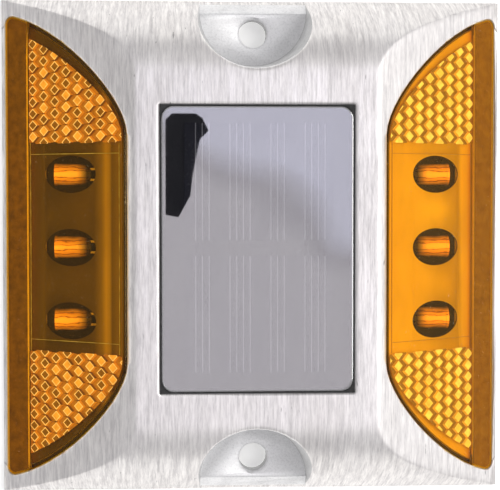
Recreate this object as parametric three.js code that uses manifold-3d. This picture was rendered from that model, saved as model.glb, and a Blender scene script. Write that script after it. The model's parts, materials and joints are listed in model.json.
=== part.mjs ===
// A solar-powered raised pavement marker: a square cast aluminium body with two amber lens faces, flashing
// LEDs behind them, a solar panel in its flat top and a bolt pocket in each domed end. Millimetres, +Z up.
// +X and -X are the lens faces that traffic sees, +Y and -Y the bolted ends.
// The origin is the centre of the base.

import * as THREE from "three";
import { mergeGeometries, mergeVertices } from "three/addons/utils/BufferGeometryUtils.js";
import Module from "manifold-3d";

const wasm = await Module();
wasm.setup();

// Body casting
const WIDTH = 118; // along X, over both lens faces
const LENGTH = 116; // along Y, over both bolted ends
const HEIGHT = 23;
const RIM = 1; // upright rim all round the foot
const TOP_HALF_X = 27.4; // half the flat top, where the lens slopes begin
const TOP_HALF_Y = 38.7; // half the flat top, where the domed ends begin
const DOME_POWER = 2.35; // how full the domed ends are
const DOME_SPACING = 1.35; // gathers the points of a dome towards its foot, where it bends most
const DOME_STEPS = 12;
const HOLLOW_STEPS = 8;
const WALL = 2.8;
const ROOF = 16; // underside of the roof
const SLOPE = (HEIGHT - RIM) / (WIDTH / 2 - TOP_HALF_X);

// Base plate and its seat
const SEAT_X = 51; // half the recess that takes the base plate
const SEAT_Y = 55;
const SEAT_TOP = 1.8;
const SHOULDER = 2.4; // ledge between the recess and the hollow above it
const PLATE = 1.2;
const GROOVE_PITCH = 9; // grooves that key the road adhesive
const GROOVE_WIDTH = 3;
const GROOVE_DEPTH = 0.5;
const SCREW_X = 24;
const SCREW_Y = 46;
const SCREW_R = 1.1;
const SCREW_HEAD_R = 2.4;
const SCREW_END = 8;
const SCREW_SLOT = 0.6; // width of the cross
const BOSS_R = 3.4;
const THREAD_END = 9;
const FOOT_CORNER = 3; // plan corners of the plate and its seat
const POST_R = 2; // posts under the main board
const CRADLE_Y = 18; // saddles under the battery
const CRADLE_TOP = 4;

// Bolt pockets
const POCKET_R = 14.4; // at the rim, before the draft
const POCKET_Y = 55; // centre of the half-round wall
const POCKET_FLOOR = 5;
const DRAFT = Math.tan(THREE.MathUtils.degToRad(6));
const LIP = 3.3; // outer stretch where the floor falls away
const LIP_FALL = 0.9; // how steeply
const BOLT_Y = 50;
const BOLT_HOLE_R = 3.3; // clearance for an M6 anchor bolt

// Solar panel
const RECESS_X = 22; // half the recess in the flat top
const RECESS_Y = 32.5;
const RECESS_FLOOR = 18;
const LEDGE = 3; // what the panel rests on all round
const WINDOW_TOP = HEIGHT - 0.2;
const WINDOW = 2.4;
const WINDOW_CORNER = 2.8;
const WINDOW_GAP = 0.4; // round the window, filled by its seal
const CELL_PITCH = 8.5;
const CELL_LENGTH = 26.6;
const CELL_ROW_Y = 15;

// Lenses: the outline is D-shaped in plan, and depths are measured straight down from the slope
const LENS_IN = 29.5; // straight inner edge
const LENS_OUT = 58; // straight outer edge
const LENS_CORNER = [56.2, 53.8]; // where each curved edge turns into a small rounded corner
const LENS_CORNER_END = 52; // and where that meets the outer edge
const LENS_LIP = 52.7; // the plain lip runs from here outwards
const LENS_STRAIGHT = 26; // half the straight inner edge
const LENS_CURVE_IN = [29.5, 33.5]; // controls of the curve from there to the corner
const LENS_CURVE_OUT = [43.8, 50.2];
const LENS_SINK = 0.15;
const LENS_BOTTOM = 2.55;
const LIP_BOTTOM = 0.85;
const TRAY_TOP = 2.7;
const TRAY_BOTTOM = 3.9;
const TRAY_INSET = 2.5; // its body from the lens edge
const FLANGE_INSET = 0.9; // and its thin flange
const FLANGE = 0.25;
const EDGE_SEAL_WIDTH = 0.6;
const LIP_RECESS = 1.15;
const WELL_INSET = 3.5;
const WELL_OUT = 48.5; // outer end of the light well

// LEDs
const LED_Y = 17;
const LED_Z = 4.4;
const LED_R = 2.5;
const LED_FACE = 46.5;
const LED_LENGTH = 8.5;
const LED_FLANGE = 0.4; // how far its foot stands out
const LED_EDGE = 0.3;
const LEAD_Y = 1.27;
const LEAD = 0.5;
const EYE_X = 42.6; // centre of the oval opening in front of each LED
const EYE_HALF_X = 6.05;
const EYE_HALF_Y = 4.35;
const LED_BOARD = 35;
const LED_BOARD_THICK = 1.2;
const LED_BOARD_HALF_Y = 21.5;
const LED_BOARD_TOP = 11;

// Battery and main board
const CELL_R = 7.25;
const BATTERY_X = -10.5;
const BATTERY_Z = 9.3;
const BATTERY_LENGTH = 50;
const BATTERY_CAP_R = 2.7;
const BATTERY_CAP = 1.2;
const TAB_HALF = 2.5;
const TAB = 0.3;
const TAB_FOOT = 3;
const STRAP_HALF = 4;
const STRAP = 0.6;
const BOARD_X = 15;
const BOARD_HALF_X = 15;
const BOARD_HALF_Y = 22;
const BOARD_TOP = 4.6;
const BOARD = 1.6;
const GAP = 0.3; // between pieces that touch
const PART_Z = BOARD_TOP + GAP;
const WIRE_R = 0.65;

const ROUND = 20; // sides of a round piece
const FAR = 70; // past the body on every side

// ---- solids ----

function solid(geometry) {
  const bare = geometry.index ? geometry.toNonIndexed() : geometry.clone();
  bare.deleteAttribute("normal");
  bare.deleteAttribute("uv");
  const merged = mergeVertices(bare, 1e-4);
  return new wasm.Manifold(
    new wasm.Mesh({
      numProp: 3,
      vertProperties: merged.attributes.position.array,
      triVerts: new Uint32Array(merged.index.array),
    }),
  );
}

function geometryOf(body) {
  const mesh = body.getMesh();
  const geometry = new THREE.BufferGeometry();
  geometry.setAttribute("position", new THREE.BufferAttribute(mesh.vertProperties, 3));
  geometry.setIndex(new THREE.BufferAttribute(mesh.triVerts, 1));
  const faceted = geometry.toNonIndexed();
  faceted.computeVertexNormals();
  return faceted;
}

// The solid between a lower and an upper outline with the same number of points.
function loft(lower, upper, low, high) {
  const turned = THREE.ShapeUtils.isClockWise(lower);
  const bottom = turned ? [...lower].reverse() : lower;
  const top = turned ? [...upper].reverse() : upper;
  const count = bottom.length;
  const positions = [];
  bottom.forEach((p) => positions.push(p.x, p.y, low));
  top.forEach((p) => positions.push(p.x, p.y, high));
  const faces = [];
  THREE.ShapeUtils.triangulateShape(bottom, []).forEach(([a, b, c]) => {
    faces.push(a, c, b);
  });
  THREE.ShapeUtils.triangulateShape(top, []).forEach(([a, b, c]) => {
    faces.push(count + a, count + b, count + c);
  });
  for (let i = 0; i < count; i++) {
    const next = (i + 1) % count;
    faces.push(i, next, count + next, i, count + next, count + i);
  }
  const geometry = new THREE.BufferGeometry();
  geometry.setAttribute("position", new THREE.Float32BufferAttribute(positions, 3));
  geometry.setIndex(faces);
  return geometry;
}

const upright = (outline, low, high) => loft(outline, outline, low, high);

// An outline given in X and Z, carried along Y.
function alongY(outline, from, to) {
  return upright(outline, -to, -from).rotateX(Math.PI / 2);
}

// An outline given in Y and Z, carried along X.
function alongX(outline, from, to) {
  return upright(outline, from, to).rotateX(Math.PI / 2).rotateZ(Math.PI / 2);
}

function box(fromX, toX, fromY, toY, fromZ, toZ) {
  const geometry = new THREE.BoxGeometry(toX - fromX, toY - fromY, toZ - fromZ);
  return geometry.translate((fromX + toX) / 2, (fromY + toY) / 2, (fromZ + toZ) / 2);
}

function post(radius, x, y, low, high, sides = ROUND, topRadius = radius) {
  const geometry = new THREE.CylinderGeometry(topRadius, radius, high - low, sides);
  return geometry.rotateX(Math.PI / 2).translate(x, y, (low + high) / 2);
}

function union(...geometries) {
  return geometries.map(solid).reduce((all, next) => all.add(next));
}

// A shape's points, without those that repeat the one before or the first.
function outlineOf(shape, divisions) {
  const all = shape.getPoints(divisions);
  return all.filter((point, i) => point.distanceTo(all[(i + all.length - 1) % all.length]) > 0.01);
}

const points = (...pairs) => pairs.map(([x, y]) => new THREE.Vector2(x, y));

function roundedRectangle(halfX, halfY, radius) {
  const shape = new THREE.Shape();
  shape.absarc(halfX - radius, halfY - radius, radius, 0, Math.PI / 2);
  shape.absarc(radius - halfX, halfY - radius, radius, Math.PI / 2, Math.PI);
  shape.absarc(radius - halfX, radius - halfY, radius, Math.PI, 1.5 * Math.PI);
  shape.absarc(halfX - radius, radius - halfY, radius, 1.5 * Math.PI, 2 * Math.PI);
  return outlineOf(shape, 3);
}

// Moves every side of a counter-clockwise outline outwards by a distance.
function grown(outline, distance) {
  const count = outline.length;
  return outline.map((point, i) => {
    const before = point.clone().sub(outline[(i + count - 1) % count]).normalize();
    const after = outline[(i + 1) % count].clone().sub(point).normalize();
    const out = new THREE.Vector2(before.y + after.y, -before.x - after.x).normalize();
    const stretch = out.x * after.y - out.y * after.x;
    return point.clone().addScaledVector(out, distance / stretch);
  });
}

// ---- body casting ----

const slopeAt = (x) => RIM + (WIDTH / 2 - x) * SLOPE;

// The plain band under the slope between two X positions and two depths, all across the body.
function slopeBand(fromX, toX, topDepth, bottomDepth) {
  const outline = points(
    [fromX, slopeAt(fromX) - bottomDepth],
    [toX, slopeAt(toX) - bottomDepth],
    [toX, slopeAt(toX) - topDepth],
    [fromX, slopeAt(fromX) - topDepth],
  );
  return alongY(outline, -FAR, FAR);
}

// A domed end-to-end outline in Y and Z, from one foot over the top to the other.
function domeOutline(halfY, foot, start, top, run, steps) {
  const right = [];
  for (let i = 0; i <= steps; i++) {
    const share = Math.pow(i / steps, DOME_SPACING);
    const height = start + (top - start) * (1 - Math.pow(1 - share, DOME_POWER));
    right.push(new THREE.Vector2(halfY - run * share, height));
  }
  const left = right.map((p) => new THREE.Vector2(-p.x, p.y)).reverse();
  return [new THREE.Vector2(halfY, foot), ...right, ...left, new THREE.Vector2(-halfY, foot)];
}

function outerShape() {
  const sides = points(
    [-WIDTH / 2, 0],
    [WIDTH / 2, 0],
    [WIDTH / 2, RIM],
    [TOP_HALF_X, HEIGHT],
    [-TOP_HALF_X, HEIGHT],
    [-WIDTH / 2, RIM],
  );
  const ends = domeOutline(LENGTH / 2, 0, RIM, HEIGHT, LENGTH / 2 - TOP_HALF_Y, DOME_STEPS);
  return solid(alongY(sides, -FAR, FAR)).intersect(solid(alongX(ends, -FAR, FAR)));
}

function hollow() {
  const halfX = SEAT_X - SHOULDER;
  const wallDepth = WALL / Math.cos(Math.atan(SLOPE)); // the wall's thickness measured straight down
  const wallX = (z) => WIDTH / 2 - (z - RIM + wallDepth) / SLOPE;
  const knee = slopeAt(halfX) - wallDepth;
  const sides = points(
    [-halfX, -RIM],
    [halfX, -RIM],
    [halfX, knee],
    [wallX(ROOF), ROOF],
    [-wallX(ROOF), ROOF],
    [-halfX, knee],
  );
  const halfY = SEAT_Y - SHOULDER;
  const ends = domeOutline(halfY, -RIM, 0, HEIGHT - WALL, halfY - TOP_HALF_Y, HOLLOW_STEPS);
  return solid(alongY(sides, -FAR, FAR)).intersect(solid(alongX(ends, -FAR, FAR)));
}

// A half-round end joined to a straight-sided mouth that opens past the body's edge.
function pocketOutline(radius) {
  const shape = new THREE.Shape();
  shape.absarc(0, POCKET_Y, radius, Math.PI, 2 * Math.PI);
  shape.lineTo(radius, FAR);
  shape.lineTo(-radius, FAR);
  return outlineOf(shape, 10);
}

function boltPocket() {
  const floorR = POCKET_R - (HEIGHT - POCKET_FLOOR) * DRAFT;
  const lipStart = LENGTH / 2 - LIP;
  const fall = points(
    [lipStart, POCKET_FLOOR],
    [lipStart, HEIGHT],
    [FAR, HEIGHT],
    [FAR, POCKET_FLOOR - (FAR - lipStart) * LIP_FALL],
  );
  const chamfer = 0.6;
  const rimR = BOLT_HOLE_R + 2 * chamfer;
  return union(
    loft(pocketOutline(floorR), pocketOutline(POCKET_R), POCKET_FLOOR, HEIGHT),
    alongX(fall, -floorR, floorR),
    post(BOLT_HOLE_R, 0, BOLT_Y, -RIM, HEIGHT),
    post(BOLT_HOLE_R, 0, BOLT_Y, POCKET_FLOOR - chamfer, POCKET_FLOOR + chamfer, ROUND, rimR),
  );
}

const pocketBlock = () => upright(pocketOutline(POCKET_R + WALL), -2 * RIM, HEIGHT);

// The D-shaped outline of the +X lens seen from above, grown by a distance and cut straight at any outerX.
function lensOutline(outwards, outerX = FAR) {
  const [start, corner] = points([LENS_IN, LENS_STRAIGHT], LENS_CORNER);
  const [curveIn, curveOut] = points(LENS_CURVE_IN, LENS_CURVE_OUT);
  const end = new THREE.Vector2(LENS_OUT, LENS_CORNER_END);
  const [cornerIn, cornerOut] = points([corner.x + 1, corner.y + 0.2], [end.x, end.y + 1.2]);
  const side = [];
  function follow(curve, first, steps) {
    for (let i = first; i <= steps; i++) {
      const along = curve.getTangent(i / steps);
      side.push(curve.getPoint(i / steps).add(new THREE.Vector2(-along.y, along.x).multiplyScalar(outwards)));
    }
  }
  follow(new THREE.CubicBezierCurve(start, curveIn, curveOut, corner), 0, 13);
  follow(new THREE.CubicBezierCurve(corner, cornerIn, cornerOut, end), 1, 4);
  const kept = side.filter((p) => p.x < outerX - 0.5);
  if (kept.length < side.length) {
    const last = kept[kept.length - 1];
    const heading = last.clone().sub(kept[kept.length - 2]);
    kept.push(last.clone().addScaledVector(heading, (outerX - last.x) / heading.x));
  }
  const mirrored = kept.map((p) => new THREE.Vector2(p.x, -p.y));
  return [...mirrored, ...kept.reverse()];
}

const lensColumn = (outwards, outerX) => solid(upright(lensOutline(outwards, outerX), -FAR, FAR));

// The stepped recess that takes the +X lens, its white tray and the light well behind them.
function lensRecess() {
  const clearance = 0.2;
  const flangeFloor = TRAY_TOP + FLANGE + 0.1;
  const lens = lensColumn(clearance).intersect(
    solid(slopeBand(0, LENS_LIP, -FAR, flangeFloor)).add(solid(slopeBand(LENS_LIP - 1, FAR, -FAR, LIP_RECESS))),
  );
  const trayFloor = solid(slopeBand(0, FAR, -FAR, TRAY_BOTTOM + clearance));
  const tray = lensColumn(GAP - TRAY_INSET, LENS_LIP).intersect(trayFloor);
  const well = lensColumn(-WELL_INSET, WELL_OUT).intersect(solid(box(0, FAR, -FAR, FAR, SEAT_TOP, HEIGHT)));
  return lens.add(tray).add(well);
}

const screwPlaces = [
  [-SCREW_X, -SCREW_Y],
  [SCREW_X, -SCREW_Y],
  [SCREW_X, SCREW_Y],
  [-SCREW_X, SCREW_Y],
];

const turned = (body) => solid(geometryOf(body).rotateZ(Math.PI));

function housing() {
  const outer = outerShape();
  const blocks = union(pocketBlock(), pocketBlock().rotateZ(Math.PI));
  const seat = solid(upright(roundedRectangle(SEAT_X, SEAT_Y, FOOT_CORNER), -RIM, SEAT_TOP));
  const panelHole = [
    box(-RECESS_X, RECESS_X, -RECESS_Y, RECESS_Y, RECESS_FLOOR, HEIGHT + RIM),
    box(LEDGE - RECESS_X, RECESS_X - LEDGE, LEDGE - RECESS_Y, RECESS_Y - LEDGE, ROOF - RIM, HEIGHT),
  ];
  const bosses = union(...screwPlaces.map(([x, y]) => post(BOSS_R, x, y, SEAT_TOP, ROOF + RIM)));
  const threads = union(...screwPlaces.map(([x, y]) => post(SCREW_R + 0.2, x, y, SEAT_TOP - RIM, THREAD_END)));
  return outer
    .subtract(hollow().add(seat).subtract(blocks))
    .add(bosses)
    .subtract(threads)
    .subtract(union(...panelHole))
    .subtract(lensRecess())
    .subtract(turned(lensRecess()))
    .subtract(boltPocket())
    .subtract(turned(boltPocket()));
}

// ---- solar panel ----

function ring(outer, inner, low, high) {
  return solid(upright(outer, low, high)).subtract(solid(upright(inner, low - 1, high + 1)));
}

function windowSeal() {
  const [halfX, halfY] = [RECESS_X - 0.05, RECESS_Y - 0.05];
  const outer = points([halfX, halfY], [-halfX, halfY], [-halfX, -halfY], [halfX, -halfY]);
  const hole = WINDOW_GAP - 0.1;
  const inner = roundedRectangle(RECESS_X - hole, RECESS_Y - hole, WINDOW_CORNER);
  return ring(outer, inner, WINDOW_TOP - WINDOW, WINDOW_TOP - 0.4);
}

function solarWindow() {
  const outline = roundedRectangle(RECESS_X - WINDOW_GAP, RECESS_Y - WINDOW_GAP, WINDOW_CORNER);
  const edge = 0.3;
  return union(
    upright(outline, WINDOW_TOP - WINDOW, WINDOW_TOP - edge),
    loft(outline, grown(outline, -edge), WINDOW_TOP - edge, WINDOW_TOP),
  );
}

const CELL_TOP = WINDOW_TOP - WINDOW - GAP;

const panelBoard = () =>
  solid(upright(roundedRectangle(RECESS_X - 0.6, RECESS_Y - 0.6, 1), RECESS_FLOOR + GAP, CELL_TOP - 2 * GAP));

function solarCell(column, row) {
  const x = (column - 1.5) * CELL_PITCH + 0.4;
  const y = (row - 0.5) * 2 * CELL_ROW_Y + 0.2;
  const halfX = CELL_PITCH / 2 - 0.15;
  return box(x - halfX, x + halfX, y - CELL_LENGTH / 2, y + CELL_LENGTH / 2, CELL_TOP - GAP, CELL_TOP);
}

// ---- lens assembly, as it sits behind the +X slope ----

function lens() {
  const slab = solid(slopeBand(0, LENS_LIP - 0.2, LENS_SINK, LENS_BOTTOM));
  const lip = solid(slopeBand(LENS_LIP - 1, FAR, LENS_SINK, LIP_BOTTOM));
  return lensColumn(0).intersect(slab.add(lip));
}

function trayOpening(y) {
  const shape = new THREE.Shape();
  shape.absellipse(EYE_X, y, EYE_HALF_X, EYE_HALF_Y, 0, 2 * Math.PI);
  return upright(outlineOf(shape, ROUND / 2), 0, HEIGHT);
}

// A thick plate with a thin flange all round that reaches nearly to the edge of the lens.
function lensTray() {
  const layer = (inset, bottomDepth) =>
    lensColumn(-inset, LENS_LIP - GAP).intersect(solid(slopeBand(0, FAR, TRAY_TOP, bottomDepth)));
  const plate = layer(TRAY_INSET, TRAY_BOTTOM).add(layer(FLANGE_INSET, TRAY_TOP + FLANGE));
  return plate.subtract(union(...[-LED_Y, 0, LED_Y].map(trayOpening)));
}

function edgeSeal() {
  const band = slopeBand(0, LENS_LIP - 0.4, LENS_BOTTOM + 0.1, TRAY_TOP + FLANGE);
  return lensColumn(0).subtract(lensColumn(-EDGE_SEAL_WIDTH)).intersect(solid(band));
}

function lipSeal() {
  const band = slopeBand(LENS_LIP + GAP, FAR, LIP_BOTTOM + 0.05, LIP_RECESS - 0.05);
  return lensColumn(-0.4).intersect(solid(band));
}

function led(y) {
  const profile = points(
    [0, 0],
    [LED_R + LED_FLANGE, 0],
    [LED_R + LED_FLANGE, 1],
    [LED_R, 1],
    [LED_R, LED_LENGTH - LED_EDGE],
    [LED_R - LED_EDGE, LED_LENGTH],
    [0, LED_LENGTH],
  );
  const capsule = new THREE.LatheGeometry(profile, ROUND).rotateZ(-Math.PI / 2);
  capsule.translate(LED_FACE - LED_LENGTH, y, LED_Z);
  const leadStart = LED_BOARD + LED_BOARD_THICK + 0.2;
  const leadEnd = LED_FACE - LED_LENGTH + 0.5;
  const leads = [y - LEAD_Y, y + LEAD_Y].map((at) =>
    box(leadStart, leadEnd, at - LEAD / 2, at + LEAD / 2, LED_Z - LEAD / 2, LED_Z + LEAD / 2),
  );
  return union(capsule, ...leads);
}

const ledBoard = () =>
  box(LED_BOARD, LED_BOARD + LED_BOARD_THICK, -LED_BOARD_HALF_Y, LED_BOARD_HALF_Y, SEAT_TOP, LED_BOARD_TOP);

// ---- battery, board and its parts ----

const alongYAxis = (radius, length, x, y, z, sides = ROUND) =>
  new THREE.CylinderGeometry(radius, radius, length, sides).translate(x, y, z);

function battery() {
  return union(
    alongYAxis(CELL_R, BATTERY_LENGTH - BATTERY_CAP, BATTERY_X, -BATTERY_CAP / 2, BATTERY_Z),
    alongYAxis(BATTERY_CAP_R, 2, BATTERY_X, BATTERY_LENGTH / 2 - 1, BATTERY_Z),
  );
}

function batteryTab(end) {
  const face = end * (BATTERY_LENGTH / 2 + 0.2);
  const back = face + end * TAB;
  const foot = back + end * TAB_FOOT;
  const low = BATTERY_Z - CELL_R + 2;
  const [left, right] = [BATTERY_X - TAB_HALF, BATTERY_X + TAB_HALF];
  return union(
    box(left, right, Math.min(face, back), Math.max(face, back), low, BATTERY_Z + TAB_HALF),
    box(left, right, Math.min(face, foot), Math.max(face, foot), low - TAB, low),
  );
}

function batteryStrap() {
  const inner = CELL_R + GAP;
  const outer = inner + STRAP;
  const shape = new THREE.Shape();
  shape.absarc(BATTERY_X, BATTERY_Z, outer, 0, Math.PI);
  shape.lineTo(BATTERY_X - outer, PLATE + GAP);
  shape.lineTo(BATTERY_X - inner, PLATE + GAP);
  shape.absarc(BATTERY_X, BATTERY_Z, inner, Math.PI, 0, true);
  shape.lineTo(BATTERY_X + inner, PLATE + GAP);
  shape.lineTo(BATTERY_X + outer, PLATE + GAP);
  return alongY(outlineOf(shape, 10), -STRAP_HALF, STRAP_HALF);
}

function mainBoard() {
  const [left, right] = [BOARD_X - BOARD_HALF_X, BOARD_X + BOARD_HALF_X];
  return box(left, right, -BOARD_HALF_Y, BOARD_HALF_Y, BOARD_TOP - BOARD, BOARD_TOP);
}

// A 14-pin chip: a body 4.4 wide and 8.8 long over seven bars that show as its legs.
function controllerChip() {
  const [x, y] = [12, 6];
  const legPitch = 1.27;
  const legs = [];
  for (let i = -3; i <= 3; i++) {
    const at = y + i * legPitch;
    legs.push(box(x - 3.8, x + 3.8, at - 0.2, at + 0.2, PART_Z, PART_Z + 0.5));
  }
  return union(box(x - 2.2, x + 2.2, y - 4.4, y + 4.4, PART_Z + 0.2, PART_Z + 1.7), ...legs);
}

// A ferrite bobbin.
function inductor() {
  const profile = points([0, 0], [4, 0], [4, 1], [2.8, 1.2], [2.8, 4], [4, 4.2], [4, 5.2], [0, 5.2]);
  return new THREE.LatheGeometry(profile, ROUND).rotateX(Math.PI / 2).translate(22, -11, PART_Z);
}

// A radial can with its crimp near the foot.
function capacitor() {
  const profile = points([0, 0], [4, 0], [4, 0.9], [3.6, 1.3], [4, 1.7], [4, 8.6], [3.6, 9], [0, 9]);
  return new THREE.LatheGeometry(profile, ROUND).rotateX(Math.PI / 2).translate(7, -12, PART_Z);
}

// A barrel body lying along Y on two bent leads.
function axialPart(radius, length, x, y) {
  const z = PART_Z + radius + 0.2;
  const reach = length / 2 + 1.6;
  return union(
    alongYAxis(radius, length, x, y, z, 16),
    box(x - 0.3, x + 0.3, y - reach, y + reach, z - 0.3, z + 0.3),
    box(x - 0.3, x + 0.3, y - reach - 0.3, y - reach + 0.3, PART_Z, z + 0.3),
    box(x - 0.3, x + 0.3, y + reach - 0.3, y + reach + 0.3, PART_Z, z + 0.3),
  );
}

const WIRE_Z = PART_Z + WIRE_R + 0.1;

// From a battery tab to the near corner of the main board.
const batteryRoute = (end) => [
  [BATTERY_X, end * (BATTERY_LENGTH / 2 + 4.2), 4.8],
  [-5, end * (BATTERY_LENGTH / 2 + 5), 6],
  [-2, end * 27, 7.5],
  [1.2, end * 19.5, WIRE_Z],
];

// From the underside of the solar panel down to the main board.
const solarRoute = (x) => [
  [x, 20, RECESS_FLOOR - 0.4],
  [x + 2, 20, 14],
  [x - 1.5, 17, 9],
  [x - 2, 15, WIRE_Z],
];

// From the main board round the end of the battery to the far row of LEDs.
const leftLedRoute = [
  [4.5, 2, WIRE_Z],
  [4.5, 12, 8],
  [5, 26, 7],
  [-4, 34.2, 5],
  [-22, 29, 5],
  [1 - LED_BOARD, 8, 6],
];

function wire(...route) {
  const path = new THREE.CatmullRomCurve3(route.map(([x, y, z]) => new THREE.Vector3(x, y, z)));
  const section = new THREE.Shape();
  section.absarc(0, 0, WIRE_R, 0, 2 * Math.PI);
  return new THREE.ExtrudeGeometry(section, { steps: 12, curveSegments: 4, extrudePath: path });
}

// ---- base ----

function plateOutline(inwards) {
  const halfX = SEAT_X - 0.4;
  const halfY = SEAT_Y - 0.4;
  const notch = POCKET_R + WALL + 0.4;
  const flatX = halfX - FOOT_CORNER;
  const flatY = halfY - FOOT_CORNER;
  const shape = new THREE.Shape();
  shape.moveTo(halfX, -flatY);
  shape.lineTo(halfX, flatY);
  shape.quadraticCurveTo(halfX, halfY, flatX, halfY);
  shape.lineTo(notch, halfY);
  shape.absarc(0, halfY, notch, 0, Math.PI, true);
  shape.lineTo(-flatX, halfY);
  shape.quadraticCurveTo(-halfX, halfY, -halfX, flatY);
  shape.lineTo(-halfX, -flatY);
  shape.quadraticCurveTo(-halfX, -halfY, -flatX, -halfY);
  shape.lineTo(-notch, -halfY);
  shape.absarc(0, -halfY, notch, Math.PI, 0, true);
  shape.lineTo(flatX, -halfY);
  shape.quadraticCurveTo(halfX, -halfY, halfX, -flatY);
  return grown(outlineOf(shape, 8), -inwards);
}

function basePlate() {
  const inset = 3; // the posts from the edges of the board
  const boardPosts = [-1, 1].flatMap((along) =>
    [-1, 1].map((across) => {
      const x = BOARD_X + across * (BOARD_HALF_X - inset);
      return post(POST_R, x, along * (BOARD_HALF_Y - inset), PLATE - 0.2, BOARD_TOP - BOARD - GAP);
    }),
  );
  const cradles = [-CRADLE_Y, CRADLE_Y].map((y) =>
    box(BATTERY_X - CELL_R, BATTERY_X + CELL_R, y - 1, y + 1, PLATE - 0.2, CRADLE_TOP),
  );
  const room = 0.15; // round each screw
  const cuts = screwPlaces.map(([x, y]) =>
    post(SCREW_HEAD_R + room, x, y, -0.05, PLATE + 0.05, ROUND, SCREW_R + room),
  );
  for (let y = GROOVE_PITCH / 2; y < SEAT_Y - GROOVE_WIDTH; y += GROOVE_PITCH) {
    cuts.push(box(-FAR, FAR, y - GROOVE_WIDTH / 2, y + GROOVE_WIDTH / 2, -1, GROOVE_DEPTH));
    cuts.push(box(-FAR, FAR, -y - GROOVE_WIDTH / 2, -y + GROOVE_WIDTH / 2, -1, GROOVE_DEPTH));
  }
  return union(upright(plateOutline(0), 0, PLATE), ...boardPosts, ...cradles)
    .subtract(union(...cuts))
    .subtract(solid(alongYAxis(CELL_R + GAP, BATTERY_LENGTH, BATTERY_X, 0, BATTERY_Z)));
}

const baseGasket = () => ring(plateOutline(0.2), plateOutline(2.1), PLATE + 0.1, SEAT_TOP - 0.1);

function baseScrew(x, y) {
  const low = 0.1;
  const neck = PLATE;
  const slot = SCREW_HEAD_R * 0.6;
  const body = union(
    post(SCREW_HEAD_R, x, y, low, neck, ROUND, SCREW_R),
    post(SCREW_R, x, y, neck - 0.1, SCREW_END, 16),
  );
  const cross = union(
    box(x - slot, x + slot, y - SCREW_SLOT / 2, y + SCREW_SLOT / 2, low - 1, low + 0.8),
    box(x - SCREW_SLOT / 2, x + SCREW_SLOT / 2, y - slot, y + slot, low - 1, low + 0.8),
  );
  return body.subtract(cross);
}

// ---- assembly ----

const finish = (color, roughness, metalness = 0) => ({ color, roughness, metalness });
const CAST = finish(0xd9d8d6, 0.45, 1);
const CLEAR = { ...finish(0xe8ecf2, 0.08), transparent: true, opacity: 0.35 };
const AMBER = { ...finish(0xf39a1c, 0.15), transparent: true, opacity: 0.6 };
const CELL_BLUE = finish(0x15161f, 0.25);
const WHITE = finish(0xf2f0ea, 0.55);
const RUBBER = finish(0x141414, 0.8);
const BOARD_GREEN = finish(0x1f5a35, 0.5);
const BLACK = finish(0x1b1b1d, 0.6);
const TIN = finish(0xb9bcc0, 0.35, 1);
const BATTERY_GREEN = finish(0x2f7d4f, 0.4);
const RED = finish(0xb3231c, 0.5);

function piece(name, shape, look) {
  const geometry = shape instanceof THREE.BufferGeometry ? shape : geometryOf(shape);
  const mesh = new THREE.Mesh(geometry, new THREE.MeshStandardMaterial(look));
  mesh.name = name;
  return mesh;
}

function lensSide(side) {
  const group = new THREE.Group();
  group.add(
    piece(`lens_${side}`, lens(), AMBER),
    piece(`lens_tray_${side}`, lensTray(), WHITE),
    piece(`lens_edge_seal_${side}`, edgeSeal(), RUBBER),
    piece(`lens_lip_seal_${side}`, lipSeal(), RUBBER),
    piece(`led_board_${side}`, ledBoard(), BOARD_GREEN),
  );
  [-LED_Y, 0, LED_Y].forEach((y, i) => group.add(piece(`led_${side}_${i + 1}`, led(y), AMBER)));
  group.rotation.z = side === "left" ? Math.PI : 0;
  return group;
}

function solarPanel() {
  const group = new THREE.Group();
  group.add(
    piece("window_seal", windowSeal(), RUBBER),
    piece("solar_window", solarWindow(), CLEAR),
    piece("solar_panel_board", panelBoard(), BLACK),
  );
  for (let row = 0; row < 2; row++) {
    for (let column = 0; column < 4; column++) {
      group.add(piece(`solar_cell_${row * 4 + column + 1}`, solarCell(column, row), CELL_BLUE));
    }
  }
  return group;
}

function electronics() {
  const group = new THREE.Group();
  group.add(
    piece("main_board", mainBoard(), BOARD_GREEN),
    piece("controller_chip", controllerChip(), BLACK),
    piece("charge_inductor", inductor(), BLACK),
    piece("storage_capacitor", capacitor(), BLACK),
    piece("blocking_diode", axialPart(1.3, 5, 20, 12), BLACK),
    piece("led_resistor_1", axialPart(1, 4.6, 24, 12), finish(0xc9a46a, 0.5)),
    piece("led_resistor_2", axialPart(1, 4.6, 27.4, 8), finish(0xc9a46a, 0.5)),
    piece("battery", battery(), BATTERY_GREEN),
    piece("battery_tab_positive", batteryTab(1), TIN),
    piece("battery_tab_negative", batteryTab(-1), TIN),
    piece("battery_strap", batteryStrap(), WHITE),
    piece("battery_wire_positive", wire(...batteryRoute(1)), RED),
    piece("battery_wire_negative", wire(...batteryRoute(-1)), BLACK),
    piece("solar_wire_positive", wire(...solarRoute(9)), RED),
    piece("solar_wire_negative", wire(...solarRoute(14)), BLACK),
    piece("led_wire_right", wire([27, -3, WIRE_Z], [28.5, -3, 8], [32, -4, 8.5], [LED_BOARD - 1, -5, 8]), RED),
    piece("led_wire_left", wire(...leftLedRoute), RED),
  );
  return group;
}

function base() {
  const group = new THREE.Group();
  group.add(piece("base_plate", basePlate(), BLACK), piece("base_gasket", baseGasket(), RUBBER));
  screwPlaces.forEach(([x, y], i) => group.add(piece(`base_screw_${i + 1}`, baseScrew(x, y), TIN)));
  return group;
}

const marker = new THREE.Group();
marker.add(piece("housing", housing(), CAST), solarPanel(), lensSide("right"), lensSide("left"));
marker.add(electronics(), base());

export default marker;
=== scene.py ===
import json
import math

import bmesh
import bpy
import numpy as np
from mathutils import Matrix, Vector
from mathutils.geometry import delaunay_2d_cdt


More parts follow.
